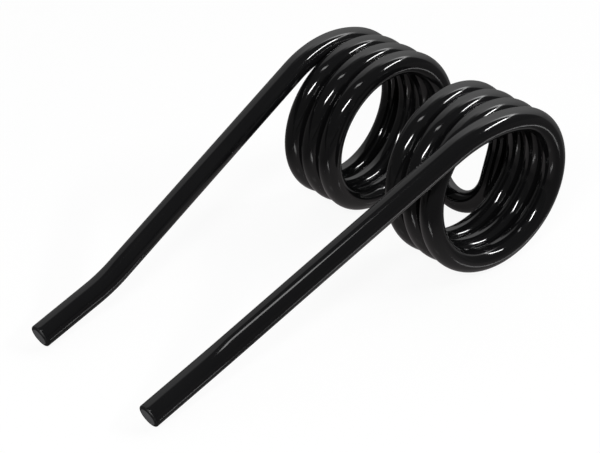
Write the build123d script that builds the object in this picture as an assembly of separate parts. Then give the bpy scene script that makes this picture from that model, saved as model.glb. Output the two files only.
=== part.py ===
from build123d import *
import os
from math import asin, atan2, ceil, cos, degrees, hypot, pi, radians, sin, tan

# Mower conditioner tine, a double torsion spring bent from one round wire.
# X is the axis of the coils, the arms reach towards -Y, and Z is up.
# The tine is drawn with its arms level and the coils' axis on X, then tilted about X
# to lie as it does on a table, on the bridge loop or the coils and on both arm tips.
# The origin is the middle of its footprint, at table height.

# Wire
wire_diameter = 10.0
rim_radius = 0.7

# Coils
coil_bore = 57.0
turn_gap = 0.5
coil_turns = 3.23
coil_toe = 1.5
coil_camber = 1.5

# Release, the wider bend that opens the last turn into the arm
release_radius = 53.0
release_angle = 45.0

# Arms
arm_length = 119.5
arm_lean = 4.2
tip_bend_radius = 100.0
tip_rise = 7.0
tip_length = 28.5

# Bridge, the loop that joins the inner ends of the coils
leg_length = 13.0
loop_inner_width = 24.0

# Sizes that follow from the ones above
wire_radius = wire_diameter / 2
coil_radius = (coil_bore + wire_diameter) / 2
coil_pitch = wire_diameter + turn_gap
coil_height = coil_turns * coil_pitch
loop_radius = (loop_inner_width + wire_diameter) / 2

# A coil is drawn with this many arcs a turn, all within 0.02 mm of a true helix
ARCS_PER_TURN = 6

# Direction in which the wire crosses the mirror plane between the coils
ACROSS = Vector(-1, 0, 0)


def bend(start, direction_in, direction_out, radius):
    """Arc of one radius that leaves start along direction_in and ends along direction_out."""
    turn = radians(direction_in.get_angle(direction_out))
    inward = (direction_out - direction_in * cos(turn)).normalized()
    end = start + (direction_in * sin(turn) + inward * (1 - cos(turn))) * radius
    return Edge.make_tangent_arc(start, direction_in, end)


def run(start, direction, length):
    """Straight piece of centre line."""
    return Edge.make_line(start, start + direction * length)


def helix_point(turned):
    """Point of the coil's helix after so many radians of winding from its outer end."""
    around = radians(release_angle) + turned
    inwards = coil_height - coil_pitch * turned / (2 * pi)
    return Vector(inwards, coil_radius * sin(around), coil_radius * cos(around))


def coil():
    """Helix about X as a chain of tangent arcs, from its outer end in to x = 0."""
    arcs = ceil(coil_turns * ARCS_PER_TURN)
    step = 2 * pi * coil_turns / arcs
    around = radians(release_angle)
    # This slope makes every arc of the chain end in the next one's direction.
    sideways = coil_pitch * step / (2 * pi)
    onwards = 2 * coil_radius * tan(step / 2)
    direction = Vector(-sideways, onwards * cos(around), -onwards * sin(around)).normalized()
    chain = []
    for number in range(arcs):
        arc = Edge.make_tangent_arc(
            helix_point(number * step), direction, helix_point((number + 1) * step)
        )
        direction = arc % 1
        chain.append(arc)
    return chain


def arm(start, direction):
    """Tip, tip bend, straight arm and release, which begins where the coil ends."""
    along_arm = Vector(0, -1, 0).rotate(Axis.Z, -arm_lean)
    along_tip = Vector(0, -1, 0).rotate(Axis.X, -tip_rise).rotate(Axis.Z, coil_toe)
    release = bend(start, direction, along_arm, release_radius)
    straight = run(release @ 1, along_arm, arm_length)
    tip_bend = bend(straight @ 1, along_arm, along_tip, tip_bend_radius)
    tip = run(tip_bend @ 1, along_tip, tip_length)
    return [tip, tip_bend, straight, release]


def half_path():
    """Centre line of the right half, from the tip of its arm to the mirror plane x = 0."""
    turns = coil()
    leg = run(turns[-1] @ 1, turns[-1] % 1, leg_length)
    edges = arm(turns[0] @ 0, (turns[0] % 0) * -1) + turns + [leg]
    # The coil and its arm turn as one, so that the arms and the coils draw together.
    turned = [Rotation(0, -coil_camber, -coil_toe) * edge for edge in edges]
    # The coil stands off the mirror plane by what the quarter of the loop needs.
    leg_direction = turned[-1] % 1
    quarter = radians(leg_direction.get_angle(ACROSS))
    stand_off = loop_radius * sin(quarter) - (turned[-1] @ 1).X
    placed = [Location((stand_off, 0, 0)) * edge for edge in turned]
    loop = bend(placed[-1] @ 1, leg_direction, ACROSS, loop_radius)
    return Wire(placed + [loop])


def rest_tilt(tip, loop):
    """Angle that lays the tine on both tips and on its loop or coils, whichever hang lower."""
    reach = hypot(tip.Y, tip.Z)
    on_coils = atan2(tip.Z, -tip.Y) + asin(coil_radius / reach)
    on_loop = atan2(tip.Z - loop.Z, loop.Y - tip.Y)
    return degrees(max(on_coils, on_loop))


def tine():
    """The whole tine as one solid, tilted to lie on the table with the origin under its middle."""
    path = half_path()
    ends = sorted((path @ 0, path @ 1), key=lambda point: point.X)
    loop_middle, tip = ends
    section = Plane(origin=path @ 0, z_dir=path % 0) * Circle(wire_radius)
    half = sweep(section, path=path)
    whole = half + mirror(half, about=Plane.YZ)
    tip_faces = whole.faces().filter_by(GeomType.PLANE)
    whole = fillet(tip_faces.edges(), rim_radius)
    resting = Rotation(rest_tilt(tip, loop_middle), 0, 0) * whole
    box = resting.bounding_box()
    return Location((-box.center().X, -box.center().Y, -box.min.Z)) * resting


os.makedirs("parts", exist_ok=True)
body = tine()
box = body.bounding_box()
print("tine", box.size, "solids", len(body.solids()), "volume", round(body.volume), body.is_valid)
export_step(body, "parts/tine.step")
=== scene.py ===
# %% [markdown]
# # A mower conditioner tine in gloss black paint
#
# The tine is one length of round spring steel, wound into two close coils with an arm on
# each and a loop between them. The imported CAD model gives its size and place. This
# notebook makes the skin that the eye sees, then the paint, the studio and the camera.

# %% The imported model, which gives every size and place
import math

import bpy
import numpy as np
from mathutils import Matrix, Vector


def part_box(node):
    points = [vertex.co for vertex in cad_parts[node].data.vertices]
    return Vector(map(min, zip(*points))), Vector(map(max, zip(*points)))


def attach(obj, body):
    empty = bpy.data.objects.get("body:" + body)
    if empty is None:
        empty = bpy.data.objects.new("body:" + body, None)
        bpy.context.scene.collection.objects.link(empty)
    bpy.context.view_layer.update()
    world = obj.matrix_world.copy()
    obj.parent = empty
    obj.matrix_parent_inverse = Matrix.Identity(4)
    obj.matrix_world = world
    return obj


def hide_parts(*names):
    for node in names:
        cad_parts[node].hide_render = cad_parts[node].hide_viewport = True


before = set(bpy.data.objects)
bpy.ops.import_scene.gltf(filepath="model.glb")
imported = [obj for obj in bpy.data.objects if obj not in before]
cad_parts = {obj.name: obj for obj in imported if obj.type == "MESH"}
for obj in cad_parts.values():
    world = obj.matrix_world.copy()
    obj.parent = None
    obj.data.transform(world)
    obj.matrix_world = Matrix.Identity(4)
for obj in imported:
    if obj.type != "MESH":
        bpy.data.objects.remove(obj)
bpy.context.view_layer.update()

tine_low, tine_high = (np.array(corner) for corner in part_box("tine"))
print("CAD box in metres:", np.round(tine_low, 4), np.round(tine_high, 4))

# %% [markdown]
# ## The wire's centre line
#
# On the real tine a coiling machine feeds straight wire past a bending pin, so the centre
# line is a few simple pieces, each joined to the next without a kink: straight runs,
# round bends and two helices. Curve objects could carry a round bevel along such a
# line, but their control points only come near a true arc. Here each piece is worked
# out with its formula, as arrays of points, directions and side vectors.
#
# A side vector is any direction at right angles to the wire. It says where the first
# point of the round section goes. Along a bend it turns with the wire about the bend's
# own axis, so that the skin isn't twisted.

# %% Sizes of the tine in millimetres
MM = 0.001
wire_radius = 5.0
rim_radius = 0.7
paint_film = 0.15
coil_radius = 33.5
coil_pitch = 10.5
coil_turns = 3.23
coil_toe = math.radians(1.5)
coil_camber = math.radians(1.5)
release_radius = 53.0
release_angle = math.radians(45.0)
arm_length = 119.5
arm_lean = math.radians(4.2)
tip_bend_radius = 100.0
tip_rise = math.radians(7.0)
tip_length = 28.5
leg_length = 13.0
loop_radius = 17.0

ring_step = 1.5
points_round = 64

ACROSS = np.array([-1.0, 0.0, 0.0])
TOWARDS_TIPS = np.array([0.0, -1.0, 0.0])
print("coil:", coil_turns, "turns of radius", coil_radius, "mm, one each", coil_pitch, "mm")


# %% Turning vectors about an axis
def turned(vectors, axis, angles):
    """Rodrigues' formula: the part along the axis stays, and the rest turns by the angle.

    v cos a + (axis x v) sin a + axis (axis . v)(1 - cos a)
    """
    vectors = np.atleast_2d(vectors)
    angles = np.atleast_1d(angles)[:, None]
    along = (vectors @ axis)[:, None] * axis
    return (
        vectors * np.cos(angles)
        + np.cross(axis, vectors) * np.sin(angles)
        + along * (1 - np.cos(angles))
    )


def turned_once(vector, axis, angle):
    """One vector turned about an axis by one angle."""
    return turned(vector, np.array(axis, float), angle)[0]


X, Y, Z = np.eye(3)
print("Y turned a quarter about X:", np.round(turned_once(Y, X, math.pi / 2), 3))


# %% Straight runs and bends
def straight_run(start, length):
    """Points at equal steps from the start along its direction. Nothing turns."""
    point, along, side = start
    distances = np.linspace(0, length, max(2, round(length / ring_step) + 1))
    points = point + distances[:, None] * along
    return points, np.tile(along, (len(points), 1)), np.tile(side, (len(points), 1))


def round_bend(start, new_direction, radius):
    """The start turned about the bend's centre, until it points in the new direction.

    The bend's axis is at right angles to both directions, and its centre lies one radius
    away from the start, on the inner side.
    """
    point, along, side = start
    axis = np.cross(along, new_direction)
    axis /= np.linalg.norm(axis)
    turn = math.acos(np.clip(along @ new_direction, -1, 1))
    angles = np.linspace(0, turn, max(4, round(radius * turn / ring_step) + 1))
    centre = point + radius * np.cross(axis, along)
    points = centre + turned(point - centre, axis, angles)
    return points, turned(along, axis, angles), turned(side, axis, angles)


def last(piece):
    """The end of a piece: its last point, direction and side vector."""
    return tuple(array[-1] for array in piece)


def chained(*pieces):
    """Pieces put end to end, with each joint's double point dropped."""
    kept = [pieces[0]] + [tuple(array[1:] for array in piece) for piece in pieces[1:]]
    return tuple(np.concatenate(arrays) for arrays in zip(*kept))


quarter_bend = round_bend((np.zeros(3), X, Z), Y, coil_radius)
print("a quarter bend from the origin ends at", np.round(last(quarter_bend)[0], 3))


# %% One coil, as a helix
def helix():
    """A circle of the coil's radius about X, moved along -X by one pitch a turn.

    The direction is the point's derivative, and the side vector points away from the axis.
    """
    count = round(coil_turns * 2 * math.pi * coil_radius / ring_step)
    wound = np.linspace(0, coil_turns * 2 * math.pi, count)
    around = release_angle + wound
    zeros = np.zeros_like(around)
    side = np.stack([zeros, np.sin(around), np.cos(around)], axis=1)
    points = coil_radius * side
    points[:, 0] = coil_pitch * (coil_turns - wound / (2 * math.pi))
    along = np.stack([zeros, np.cos(around), -np.sin(around)], axis=1) * coil_radius
    along[:, 0] = -coil_pitch / (2 * math.pi)
    return points, along / np.linalg.norm(along, axis=1)[:, None], side


coil = helix()
print("rings along one coil:", len(coil[0]))


# %% The arm that leaves the coil's outer end
def arm():
    """From the coil's end outwards: release bend, straight arm, tip bend and tip."""
    along_arm = turned_once(TOWARDS_TIPS, Z, -arm_lean)
    along_tip = turned_once(turned_once(TOWARDS_TIPS, X, -tip_rise), Z, coil_toe)
    start = coil[0][0], -coil[1][0], coil[2][0]
    release = round_bend(start, along_arm, release_radius)
    straight = straight_run(last(release), arm_length)
    tip_bend = round_bend(last(straight), along_tip, tip_bend_radius)
    tip = straight_run(last(tip_bend), tip_length - rim_radius)
    return chained(release, straight, tip_bend, tip)


def reversed_piece(piece):
    """The same piece walked the other way, so its directions change sign."""
    points, along, side = (array[::-1] for array in piece)
    return points, -along, side


arm_piece = arm()
print("rings along one arm:", len(arm_piece[0]))


# %% [markdown]
# ## Half a tine, and its mirror image
#
# The coil and its arm are turned a little as one: the two coils draw together towards
# their tops and their arms' side, as they do on the real tine. The half loop then runs
# on from the coil's inner end until the wire points straight across the middle.

# %% Half of the wire, from the tip to the middle
def half_wire():
    """Arm, helix, leg and a quarter of a circle, which ends on the plane x = 0."""
    leg = straight_run(last(coil), leg_length)
    pieces = chained(reversed_piece(arm_piece), coil, leg)
    points, along, side = (
        turned(turned(array, Z, -coil_toe), Y, -coil_camber) for array in pieces
    )
    quarter = math.acos(along[-1] @ ACROSS)
    points[:, 0] += loop_radius * math.sin(quarter) - points[-1, 0]
    loop = round_bend((points[-1], along[-1], side[-1]), ACROSS, loop_radius)
    return chained((points, along, side), loop)


def whole_wire(half):
    """The right half, then its mirror image walked from the middle to the left tip."""
    mirror = np.array([-1.0, 1.0, 1.0])
    points, along, side = half
    left = points * mirror, -along * mirror, side * mirror
    left = tuple(array[::-1] for array in left)
    return chained(half, left)


wire = whole_wire(half_wire())
print("rings along the wire:", len(wire[0]))


# %% Laid on the table
def rest_angle():
    """The tilt about X that brings the tips down to the height of the loop's middle."""
    points = wire[0]
    tip = points[0] + wire[1][0] * -rim_radius
    middle = points[len(points) // 2]
    return math.atan2(tip[2] - middle[2], middle[1] - tip[1])


tilt = rest_angle()
wire = tuple(turned(array, X, tilt) for array in wire)
print("tilt in degrees:", round(math.degrees(tilt), 2))

# %% [markdown]
# ## The skin
#
# A bevelled curve or a Skin modifier would give a tube, but not the tips' small rounded
# rims. So the skin is rings carried along the centre line, a coat of paint outside the
# steel of the CAD model. A ring's points are its centre plus the side vector and the
# vector across it, weighted by cosine and sine. At each tip a few more rings shrink over
# the rim and then close on the flat end.

# %% Rings of the tip's rim and its flat end
skin_radius = wire_radius + paint_film
skin_rim = rim_radius + paint_film
rim_steps = 6
rim_turns = np.radians(np.linspace(0, 90, rim_steps + 1))[1:]
rim_forward = skin_rim * np.sin(rim_turns)
rim_radii = skin_radius - skin_rim * (1 - np.cos(rim_turns))

# The first share bounds the grey disc of the cut face.
face_shares = np.array([0.88, 0.6, 0.3, 0.04])
face_radii = (skin_radius - skin_rim) * face_shares
end_forward = np.concatenate([rim_forward, np.full(len(face_radii), skin_rim)])
end_radii = np.concatenate([rim_radii, face_radii])
print("rings over one end:", len(end_radii))


# %% Centre, frame and radius of every ring
def ring_rows():
    """The wire's rings with the ends' rings before and after them."""
    points, along, side = wire
    first = points[0] - end_forward[::-1, None] * along[0]
    final = points[-1] + end_forward[:, None] * along[-1]
    count = len(end_radii)
    centres = np.concatenate([first, points, final])
    alongs = np.concatenate([np.tile(along[0], (count, 1)), along, np.tile(along[-1], (count, 1))])
    sides = np.concatenate([np.tile(side[0], (count, 1)), side, np.tile(side[-1], (count, 1))])
    radii = np.concatenate([end_radii[::-1], np.full(len(points), skin_radius), end_radii])
    return centres, alongs, sides, radii


def skin_points():
    """centre + radius (cos a side + sin a across), for each ring and each angle a."""
    centres, alongs, sides, radii = ring_rows()
    across = np.cross(alongs, sides)
    angles = np.arange(points_round) * 2 * math.pi / points_round
    spread = (
        np.cos(angles)[None, :, None] * sides[:, None, :]
        + np.sin(angles)[None, :, None] * across[:, None, :]
    )
    return centres[:, None, :] + radii[:, None, None] * spread


skin = skin_points()
print("rings and points round each:", skin.shape[:2])


# %% Moved to the frame's box, in metres
def placed(grid):
    """The grid in metres, with the middle and bottom of its box on those of the CAD node."""
    grid = grid * MM
    low, high = grid.min(axis=(0, 1)), grid.max(axis=(0, 1))
    middle = (tine_low + tine_high) / 2
    shift = middle - (low + high) / 2
    shift[2] = tine_low[2] - low[2]
    return grid + shift, shift


skin, shift = placed(skin)
coil_axis_middle = Vector(shift)
print("middle of the coils' axis:", np.round(shift, 4))


# %% Squares between the rings, and the mesh
def ring_faces(rings, round_count):
    """Each square joins a point to the next one round, on its own ring and the next."""
    ring, spot = np.meshgrid(np.arange(rings - 1), np.arange(round_count), indexing="ij")
    after = (spot + 1) % round_count
    a = ring * round_count + spot
    b = ring * round_count + after
    return np.stack([a, b, b + round_count, a + round_count], axis=2).reshape(-1, 4)


def closing_faces(rings, round_count):
    """One small many-sided face in the middle of each end."""
    near = np.arange(round_count)[::-1]
    far = (rings - 1) * round_count + np.arange(round_count)
    return [near.tolist(), far.tolist()]


def thin_paint(rings, round_count):
    """1 on the rings over the rims and the flat ends, 0 along the wire."""
    count = len(end_radii)
    ring = np.arange(rings)
    on_end = (ring < count) | (ring >= rings - count)
    return np.repeat(on_end.astype(np.float32), round_count)


def made_mesh(name, grid):
    """A closed mesh from a grid of rings, with smooth shading."""
    rings, round_count = grid.shape[:2]
    faces = ring_faces(rings, round_count).tolist() + closing_faces(rings, round_count)
    mesh = bpy.data.meshes.new(name)
    mesh.from_pydata(grid.reshape(-1, 3).tolist(), [], faces)
    mesh.polygons.foreach_set("use_smooth", np.ones(len(faces), bool))
    thin = mesh.attributes.new("thin_paint", "FLOAT", "POINT")
    thin.data.foreach_set("value", thin_paint(rings, round_count))
    mesh.update()
    return mesh


tine_mesh = made_mesh("painted_tine", skin)
tine = bpy.data.objects.new("painted_tine", tine_mesh)
bpy.context.scene.collection.objects.link(tine)
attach(tine, "root")
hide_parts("tine")
print("faces of the skin:", len(tine_mesh.polygons))

# %% [markdown]
# ## Node helpers
#
# A material is a small graph of nodes. One function adds a node with its settings and
# its links, and one turns a colour written as hex, as on a screen, into the linear
# numbers that the renderer works with.

# %% Colours and nodes
def linear(code):
    """A hex colour as linear red, green, blue and alpha.

    Below 0.04045 a value is divided by 12.92. Above it, 0.055 is added, the sum is
    divided by 1.055 and raised to the power 2.4.
    """
    values = np.array([int(code[i : i + 2], 16) for i in (1, 3, 5)]) / 255
    low = values / 12.92
    high = ((values + 0.055) / 1.055) ** 2.4
    return (*np.where(values <= 0.04045, low, high).tolist(), 1.0)


WHITE = linear("#ffffff")


def node(tree, kind, settings=None, **inputs):
    """A new node. A socket's value is set, or linked if it is another node's output.

    _0, _1 and so on give a socket by its number, and any other word gives it by its name.
    """
    new = tree.nodes.new(kind)
    for name, value in (settings or {}).items():
        setattr(new, name, value)
    for name, value in inputs.items():
        by_number = name[1:].isdigit()
        socket = new.inputs[int(name[1:]) if by_number else name.replace("_", " ")]
        if isinstance(value, bpy.types.NodeSocket):
            tree.links.new(value, socket)
        else:
            socket.default_value = value
    return new


def empty_material(name):
    """A material with no nodes yet, and its tree."""
    material = bpy.data.materials.new(name)
    material.use_nodes = True
    material.node_tree.nodes.clear()
    return material, material.node_tree


print("mid grey in linear numbers:", np.round(linear("#808080"), 4))


# %% [markdown]
# ## Gloss black paint
#
# The real finish is a black enamel, dipped or sprayed over the wire and baked. It is
# nearly black in itself, and all that the eye sees of it is what it mirrors: sharp
# streaks of the lamps, a dim room, and more of everything at grazing angles. Its
# refractive index is about 1.5. A film of paint never dries quite flat. Its fine waves,
# a few millimetres long, are called orange peel, and dust leaves small nibs in it.

# %% Waves and nibs of the paint
PEEL_WAVE = 4.0 * MM
PEEL_HEIGHT = 0.004 * MM
NIB_SPACING = 9.0 * MM
NIB_SIZE = 0.3 * MM
NIB_HEIGHT = 0.03 * MM


def paint_height(tree, place):
    """Orange peel and nibs as one height in metres."""
    peel = node(tree, "ShaderNodeTexNoise", Vector=place, Scale=1 / PEEL_WAVE, Detail=0.0)
    peel_height = node(
        tree, "ShaderNodeMath", {"operation": "MULTIPLY"}, _0=peel.outputs["Fac"], _1=PEEL_HEIGHT
    )
    cells = node(tree, "ShaderNodeTexVoronoi", Vector=place, Scale=1 / NIB_SPACING)
    nib = node(
        tree,
        "ShaderNodeMapRange",
        {"interpolation_type": "SMOOTHSTEP"},
        Value=cells.outputs["Distance"],
        From_Min=0.0,
        From_Max=NIB_SIZE / NIB_SPACING,
        To_Min=NIB_HEIGHT,
        To_Max=0.0,
    )
    return node(
        tree, "ShaderNodeMath", {"operation": "ADD"}, _0=peel_height.outputs[0], _1=nib.outputs[0]
    )


print("heights in metres: orange peel", PEEL_HEIGHT, "and nibs", NIB_HEIGHT)


# %% The paint over the wire
SMEAR_WAVE = 18.0 * MM
PAINT_COLOURS = "#0e0e0f", "#131314"
PAINT_IOR = 1.5
FILM_ROUGHNESS = 0.06, 0.11
THIN_ROUGHNESS = 0.5


def gloss_black_enamel():
    """Dark and glossy, with orange peel, dust nibs and faint smears, but dull where thin."""
    material, tree = empty_material("gloss_black_enamel")
    place = node(tree, "ShaderNodeTexCoord").outputs["Object"]
    height = paint_height(tree, place)
    bump = node(tree, "ShaderNodeBump", Strength=1.0, Distance=1.0, Height=height.outputs[0])
    smears = node(tree, "ShaderNodeTexNoise", Vector=place, Scale=1 / SMEAR_WAVE, Detail=3.0)
    film = node(
        tree,
        "ShaderNodeMapRange",
        Value=smears.outputs["Fac"],
        To_Min=FILM_ROUGHNESS[0],
        To_Max=FILM_ROUGHNESS[1],
    )
    thin = node(tree, "ShaderNodeAttribute", {"attribute_name": "thin_paint"})
    roughness = node(
        tree,
        "ShaderNodeMix",
        {"data_type": "FLOAT"},
        _0=thin.outputs["Fac"],
        _2=film.outputs[0],
        _3=THIN_ROUGHNESS,
    )
    colour = node(
        tree,
        "ShaderNodeMix",
        {"data_type": "RGBA"},
        _0=smears.outputs["Fac"],
        _6=linear(PAINT_COLOURS[0]),
        _7=linear(PAINT_COLOURS[1]),
    )
    shader = node(
        tree,
        "ShaderNodeBsdfPrincipled",
        Base_Color=colour.outputs[2],
        Roughness=roughness.outputs[0],
        IOR=PAINT_IOR,
        Normal=bump.outputs[0],
    )
    node(tree, "ShaderNodeOutputMaterial", Surface=shader.outputs[0])
    return material


tine_mesh.materials.append(gloss_black_enamel())
print("materials:", [material.name for material in tine_mesh.materials])

# %% [markdown]
# ## The sheared ends
#
# The wire is cut in a shear, and the paint over the torn face stays thin and dull, while
# it draws back into a darker ring round the edge. The disc inside that ring is therefore
# greyer and rougher than the rest. It is the same mesh with a second material there.

# %% Dull paint on the cut faces
GRAIN_WAVE = 0.5 * MM
GRAIN_HEIGHT = 0.03 * MM
CUT_COLOURS = "#626264", "#818183"
CUT_ROUGHNESS = 0.5


def dull_cut_face():
    """Thin black paint over torn steel: dull grey and finely pitted."""
    material, tree = empty_material("thin_paint_on_sheared_steel")
    place = node(tree, "ShaderNodeTexCoord").outputs["Object"]
    grain = node(tree, "ShaderNodeTexNoise", Vector=place, Scale=1 / GRAIN_WAVE, Detail=3.0)
    bump = node(
        tree, "ShaderNodeBump", Strength=1.0, Distance=GRAIN_HEIGHT, Height=grain.outputs["Fac"]
    )
    colour = node(
        tree,
        "ShaderNodeMix",
        {"data_type": "RGBA"},
        _0=grain.outputs["Fac"],
        _6=linear(CUT_COLOURS[0]),
        _7=linear(CUT_COLOURS[1]),
    )
    shader = node(
        tree,
        "ShaderNodeBsdfPrincipled",
        Base_Color=colour.outputs[2],
        Roughness=CUT_ROUGHNESS,
        IOR=PAINT_IOR,
        Normal=bump.outputs[0],
    )
    node(tree, "ShaderNodeOutputMaterial", Surface=shader.outputs[0])
    return material


def cut_face_rows():
    """The rows of squares inside the dark ring of each flat end, and the closing faces."""
    squares = (skin.shape[0] - 1) * points_round
    row = np.arange(squares) // points_round
    flat = len(face_radii) - 1
    on_end = (row < flat) | (row >= skin.shape[0] - 1 - flat)
    return np.concatenate([on_end, [True, True]]).astype(np.int32)


tine_mesh.materials.append(dull_cut_face())
tine_mesh.polygons.foreach_set("material_index", cut_face_rows())
print("faces on the cut ends:", int(cut_face_rows().sum()))

# %% [markdown]
# ## The floor
#
# The tine lies on a plain white table. One sheet of white card would do for a dull
# object, but this paint mirrors the table in all its lower sides, and in the photograph
# those stay nearly black, with one thin light line along each lower edge. That is what a
# smooth dark table top mirrors of the lamps. So the table has two looks. Light Path's
# Is Camera Ray and Is Transmission Ray show it white, with a share of the tine's shadow.
# Is Glossy Ray shows the paint the smooth top, which glows faintly, and more in a pool of
# painted light under the coils, as their lower sides are lighter in the photograph. All
# other rays meet matt grey.

# %% The smooth top that the paint mirrors, with its pool of painted light
TABLE_TOP = "#3a3a3a"
TABLE_ROUGHNESS = 0.12
TABLE_IOR = 1.5
# Painted light: the board glows faintly all over, and more in an oval pool under the coils.
TABLE_GLOW = 0.05
PAINTED_POOL_LIGHT = 0.24
PAINTED_POOL_TINT = "#fff8f9"
POOL_PLACE = (0.015, 0.045, 0.0)
POOL_REACH = (0.13, 0.085, 1.0)
POOL_CORE = 0.3


def smooth_top(tree):
    """A dark smooth board that glows, more in an oval pool of painted light fading core to reach.
    """
    place = node(
        tree,
        "ShaderNodeMapping",
        {"vector_type": "TEXTURE"},
        Vector=node(tree, "ShaderNodeTexCoord").outputs["Object"],
        Location=POOL_PLACE,
        Scale=POOL_REACH,
    ).outputs[0]
    away = node(tree, "ShaderNodeVectorMath", {"operation": "LENGTH"}, _0=place).outputs["Value"]
    pool = node(
        tree,
        "ShaderNodeMapRange",
        {"interpolation_type": "SMOOTHSTEP"},
        Value=away,
        From_Min=POOL_CORE,
        To_Min=PAINTED_POOL_LIGHT,
        To_Max=TABLE_GLOW,
    )
    return node(
        tree,
        "ShaderNodeBsdfPrincipled",
        Base_Color=linear(TABLE_TOP),
        Roughness=TABLE_ROUGHNESS,
        IOR=TABLE_IOR,
        Emission_Color=linear(PAINTED_POOL_TINT),
        Emission_Strength=pool.outputs[0],
    )


print("pool's middle and half widths in metres:", POOL_PLACE[:2], POOL_REACH[:2])


# %% White to the camera, smooth to the paint
SHADOW_SHARE = 0.08
TABLE_GREY = "#5c5c5c"


def white_table():
    """White with a share of shadow to the camera, and the smooth top to glossy rays."""
    material, tree = empty_material("white_table")
    path = node(tree, "ShaderNodeLightPath")
    matt = node(tree, "ShaderNodeBsdfDiffuse", Color=linear(TABLE_GREY))
    mirrored = node(
        tree,
        "ShaderNodeMixShader",
        _0=path.outputs["Is Glossy Ray"],
        _1=matt.outputs[0],
        _2=smooth_top(tree).outputs[0],
    )
    paper = node(tree, "ShaderNodeBsdfDiffuse", Color=WHITE)
    white = node(tree, "ShaderNodeEmission", Color=WHITE, Strength=1.0)
    seen = node(
        tree, "ShaderNodeMixShader", _0=1 - SHADOW_SHARE, _1=paper.outputs[0], _2=white.outputs[0]
    )
    clear = node(
        tree,
        "ShaderNodeMath",
        {"operation": "MAXIMUM"},
        _0=path.outputs["Is Camera Ray"],
        _1=path.outputs["Is Transmission Ray"],
    )
    surface = node(
        tree,
        "ShaderNodeMixShader",
        _0=clear.outputs[0],
        _1=mirrored.outputs[0],
        _2=seen.outputs[0],
    )
    node(tree, "ShaderNodeOutputMaterial", Surface=surface.outputs[0])
    return material


table_material = white_table()
print("nodes of the table's material:", len(table_material.node_tree.nodes))


# %% The table, just under the tine
FLOOR_SIZE = 6.0
FLOOR_GAP = 0.0002


def square(name, size, height):
    """A flat square, centred on the origin, at one height."""
    half = size / 2
    corners = [(x * half, y * half, height) for x, y in ((-1, -1), (1, -1), (1, 1), (-1, 1))]
    mesh = bpy.data.meshes.new(name)
    mesh.from_pydata(corners, [], [(0, 1, 2, 3)])
    thing = bpy.data.objects.new(name, mesh)
    bpy.context.scene.collection.objects.link(thing)
    return thing


table_height = float(tine_low[2]) - FLOOR_GAP
table = square("table", FLOOR_SIZE, table_height)
table.data.materials.append(table_material)
print("table at height in metres:", round(table_height, 4))

# %% [markdown]
# ## The lamps
#
# Black gloss shows the shape of whatever lights it. The thin white streaks on the coils'
# tops and inside them are one long narrow lamp on the far side, with a dimmer end, seen in
# a round wire. The short glints on the near side are a second lamp over the camera, and
# the dim spots above them a small one near the ceiling. Sun or point lamps would give
# dots, so each is an area lamp, with the height and length that its mirror image has in
# the photograph.

# %% Directions round the tine, and the lamps
def direction(azimuth, elevation):
    """Unit vector from the tine. Azimuth 0 is -Y and 90 is +X, and elevation is upwards."""
    a, e = math.radians(azimuth), math.radians(elevation)
    return Vector((math.sin(a) * math.cos(e), -math.cos(a) * math.cos(e), math.sin(e)))


def soft_box(name, azimuth, elevation, width, height, radiance, roll=0.0, distance=1.6):
    """An area lamp facing the coils, with its size in degrees and its distance in metres.

    A flat lamp of power W and area A that shines from one side has radiance W / (pi A).
    """
    data = bpy.data.lights.new(name, "AREA")
    data.shape = "RECTANGLE"
    data.size = 2 * distance * math.tan(math.radians(width) / 2)
    data.size_y = 2 * distance * math.tan(math.radians(height) / 2)
    data.energy = radiance * math.pi * data.size * data.size_y
    lamp = bpy.data.objects.new(name, data)
    towards = direction(azimuth, elevation)
    place = Matrix.Translation(coil_axis_middle + towards * distance)
    facing = (-towards).to_track_quat("-Z", "Y").to_matrix()
    turn = facing @ Matrix.Rotation(math.radians(roll), 3, "Z")
    lamp.matrix_world = place @ turn.to_4x4()
    lamp.visible_camera = False
    bpy.context.scene.collection.objects.link(lamp)


soft_box("front_strip", azimuth=33, elevation=37, width=19, height=4.8, radiance=60, roll=30)
soft_box("far_strip", azimuth=132.5, elevation=38, width=23, height=4, radiance=42)
soft_box("far_strip_end", azimuth=154, elevation=37.5, width=20, height=4, radiance=5)
soft_box("top_panel", azimuth=20, elevation=70, width=20, height=5, radiance=5, distance=2.0)


# %% [markdown]
# ## The room
#
# The grey bands along the arms and over the coils' tops are a pale wall behind the tine,
# on the left. It is lighter towards its top, fades towards one side and ends below a dark
# ceiling. A screen of mesh could stand there, but the world can hold the whole room in a
# few nodes: two colour ramps, one by height and one by side, give the wall, and a soft
# upright strip on it gives the light ridge above the streaks. The camera and transmission
# rays see plain white instead. The rest of the room is dim, which keeps the black deep.

# %% Levels of the wall
WALL_AZIMUTH = -141.0
WALL_BRIGHTEST = 1.7
WALL_BY_HEIGHT = [
    (-90, 0.13),
    (0, 0.23),
    (12, 0.49),
    (26, 0.81),
    (44, 1.24),
    (58, 1.62),
    (65, 1.56),
    (75, 0.13),
]
WALL_BY_SIDE = [
    (-58, 0.0),
    (-54, 1.0),
    (-32, 0.96),
    (-10, 0.85),
    (15, 0.77),
    (28, 0.65),
    (48, 0.35),
    (62, 0.29),
    (67, 0.0),
]


def steps(tree, angle, stops, brightest):
    """A level for each angle, in straight steps between stops given in degrees."""
    low, high = stops[0][0], stops[-1][0]
    position = node(
        tree,
        "ShaderNodeMapRange",
        Value=angle,
        From_Min=math.radians(low),
        From_Max=math.radians(high),
    )
    ramp = node(tree, "ShaderNodeValToRGB", Fac=position.outputs[0])
    while len(ramp.color_ramp.elements) < len(stops):
        ramp.color_ramp.elements.new(0.5)
    for element, (degree, level) in zip(ramp.color_ramp.elements, stops):
        element.position = (degree - low) / (high - low)
        element.color = (*[level / brightest] * 3, 1.0)
    return node(
        tree, "ShaderNodeMath", {"operation": "MULTIPLY"}, _0=ramp.outputs[0], _1=brightest
    ).outputs[0]


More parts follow.
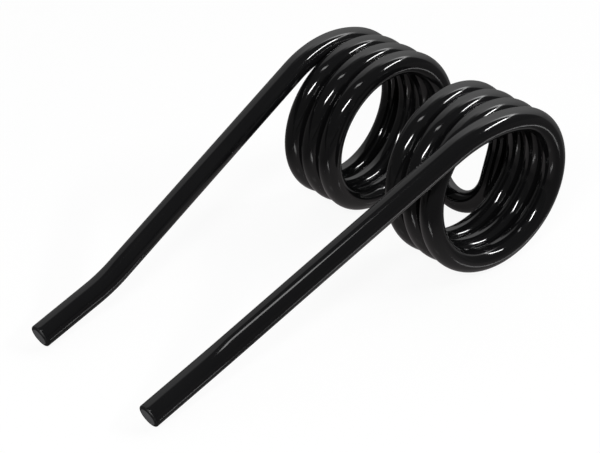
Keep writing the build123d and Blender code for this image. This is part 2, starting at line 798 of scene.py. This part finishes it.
print("stops of the wall:", len(WALL_BY_HEIGHT), "by height,", len(WALL_BY_SIDE), "by side")


# %% Angles of a ray
def ray_angles(tree):
    """Elevation, the arcsine of z, and the angle off the wall's middle, an arctangent."""
    towards = node(tree, "ShaderNodeTexCoord").outputs["Generated"]
    z = node(tree, "ShaderNodeSeparateXYZ", Vector=towards).outputs["Z"]
    elevation = node(tree, "ShaderNodeMath", {"operation": "ARCSINE"}, _0=z).outputs[0]
    along, across = (
        node(
            tree,
            "ShaderNodeVectorMath",
            {"operation": "DOT_PRODUCT"},
            _0=towards,
            _1=direction(azimuth, 0.0),
        ).outputs["Value"]
        for azimuth in (WALL_AZIMUTH, WALL_AZIMUTH + 90)
    )
    angle = node(tree, "ShaderNodeMath", {"operation": "ARCTAN2"}, _0=across, _1=along)
    return elevation, angle.outputs[0]


print("the wall's middle lies towards", np.round(direction(WALL_AZIMUTH, 0.0), 3))


# %% The strip, and the whole light of the room
ROOM_LEVEL = 0.08
STRIP_ANGLE = -49.0
STRIP_LEVEL = 4.5
STRIP_SIDES = 9.0, 2.0
STRIP_FOOT = 28.0, 42.0
STRIP_TOP = 66.0, 44.0


def strip_light(tree, elevation, angle):
    """A product of three smooth steps, each from its dark angle to its bright one."""
    beside = node(
        tree, "ShaderNodeMath", {"operation": "SUBTRACT"}, _0=angle, _1=math.radians(STRIP_ANGLE)
    )
    aside = node(tree, "ShaderNodeMath", {"operation": "ABSOLUTE"}, _0=beside.outputs[0])
    light = STRIP_LEVEL
    for value, (dark, bright) in (
        (aside.outputs[0], STRIP_SIDES),
        (elevation, STRIP_FOOT),
        (elevation, STRIP_TOP),
    ):
        light = node(
            tree,
            "ShaderNodeMapRange",
            {"interpolation_type": "SMOOTHSTEP"},
            Value=value,
            From_Min=math.radians(dark),
            From_Max=math.radians(bright),
            To_Min=0.0,
            To_Max=light,
        ).outputs[0]
    return light


def room_light(tree):
    """The wall, its steps by height times those by side, over the dim room, plus the strip."""
    elevation, angle = ray_angles(tree)
    wall = node(
        tree,
        "ShaderNodeMath",
        {"operation": "MULTIPLY_ADD"},
        _0=steps(tree, elevation, WALL_BY_HEIGHT, WALL_BRIGHTEST),
        _1=steps(tree, angle, WALL_BY_SIDE, 1.0),
        _2=ROOM_LEVEL,
    )
    return node(
        tree,
        "ShaderNodeMath",
        {"operation": "ADD"},
        _0=wall.outputs[0],
        _1=strip_light(tree, elevation, angle),
    ).outputs[0]


print("azimuth of the strip in degrees:", (WALL_AZIMUTH + STRIP_ANGLE) % 360)


# %% The world, white to the camera and the room to all else
def room():
    """A strength of 1 to camera and transmission rays, and the room's light to others."""
    world = bpy.data.worlds.new("studio")
    world.use_nodes = True
    tree = world.node_tree
    tree.nodes.clear()
    path = node(tree, "ShaderNodeLightPath")
    white = node(
        tree,
        "ShaderNodeMath",
        {"operation": "MAXIMUM"},
        _0=path.outputs["Is Camera Ray"],
        _1=path.outputs["Is Transmission Ray"],
    )
    seen = node(
        tree,
        "ShaderNodeMix",
        {"data_type": "FLOAT"},
        _0=white.outputs[0],
        _2=room_light(tree),
        _3=1.0,
    )
    background = node(tree, "ShaderNodeBackground", Color=WHITE, Strength=seen.outputs[0])
    node(tree, "ShaderNodeOutputWorld", Surface=background.outputs[0])
    return world


bpy.context.scene.world = room()
bpy.context.scene.view_settings.view_transform = "Standard"
print("world:", bpy.context.scene.world.name)

# %% [markdown]
# ## The camera
#
# The photograph is a product shot from under a metre away, from the right and above, at
# its own size of 600 by 453. The middle of the coils' axis is known in it, so its pixel
# and the scale there place the camera. A camera could also be turned to look at the
# tine, but then the perspective would differ from that of a frame cut out of a photograph.

# %% Camera at the photograph's viewing angle
IMAGE_WIDTH, IMAGE_HEIGHT = 600, 453
VIEW_AZIMUTH, VIEW_ELEVATION, VIEW_ROLL = 47.74, 31.7, 0.51
LENS = 115.0
AXIS_PIXEL = (418.6, 149.0)
PIXELS_PER_METRE = 2282.0
SENSOR_WIDTH = 36.0


def photograph_camera():
    """Backs off from the axis point by focal length over scale, and sideways by its pixel."""
    back = direction(VIEW_AZIMUTH, VIEW_ELEVATION)
    level = Vector((math.cos(math.radians(VIEW_AZIMUTH)), math.sin(math.radians(VIEW_AZIMUTH)), 0))
    roll = Matrix.Rotation(math.radians(VIEW_ROLL), 3, back)
    right = roll @ level
    up = roll @ back.cross(level)
    offset_right = (AXIS_PIXEL[0] - IMAGE_WIDTH / 2) / PIXELS_PER_METRE
    offset_down = (AXIS_PIXEL[1] - IMAGE_HEIGHT / 2) / PIXELS_PER_METRE
    distance = LENS * IMAGE_WIDTH / SENSOR_WIDTH / PIXELS_PER_METRE
    place = coil_axis_middle + back * distance - right * offset_right + up * offset_down
    data = bpy.data.cameras.new("camera")
    data.sensor_width = SENSOR_WIDTH
    data.lens = LENS
    camera = bpy.data.objects.new("camera", data)
    turn = Matrix((right, up, back)).transposed()
    camera.matrix_world = Matrix.Translation(place) @ turn.to_4x4()
    bpy.context.scene.collection.objects.link(camera)
    return camera


camera = photograph_camera()
bpy.context.scene.camera = camera
print("lens:", camera.data.lens, "mm, camera at", np.round(camera.matrix_world.translation, 3))
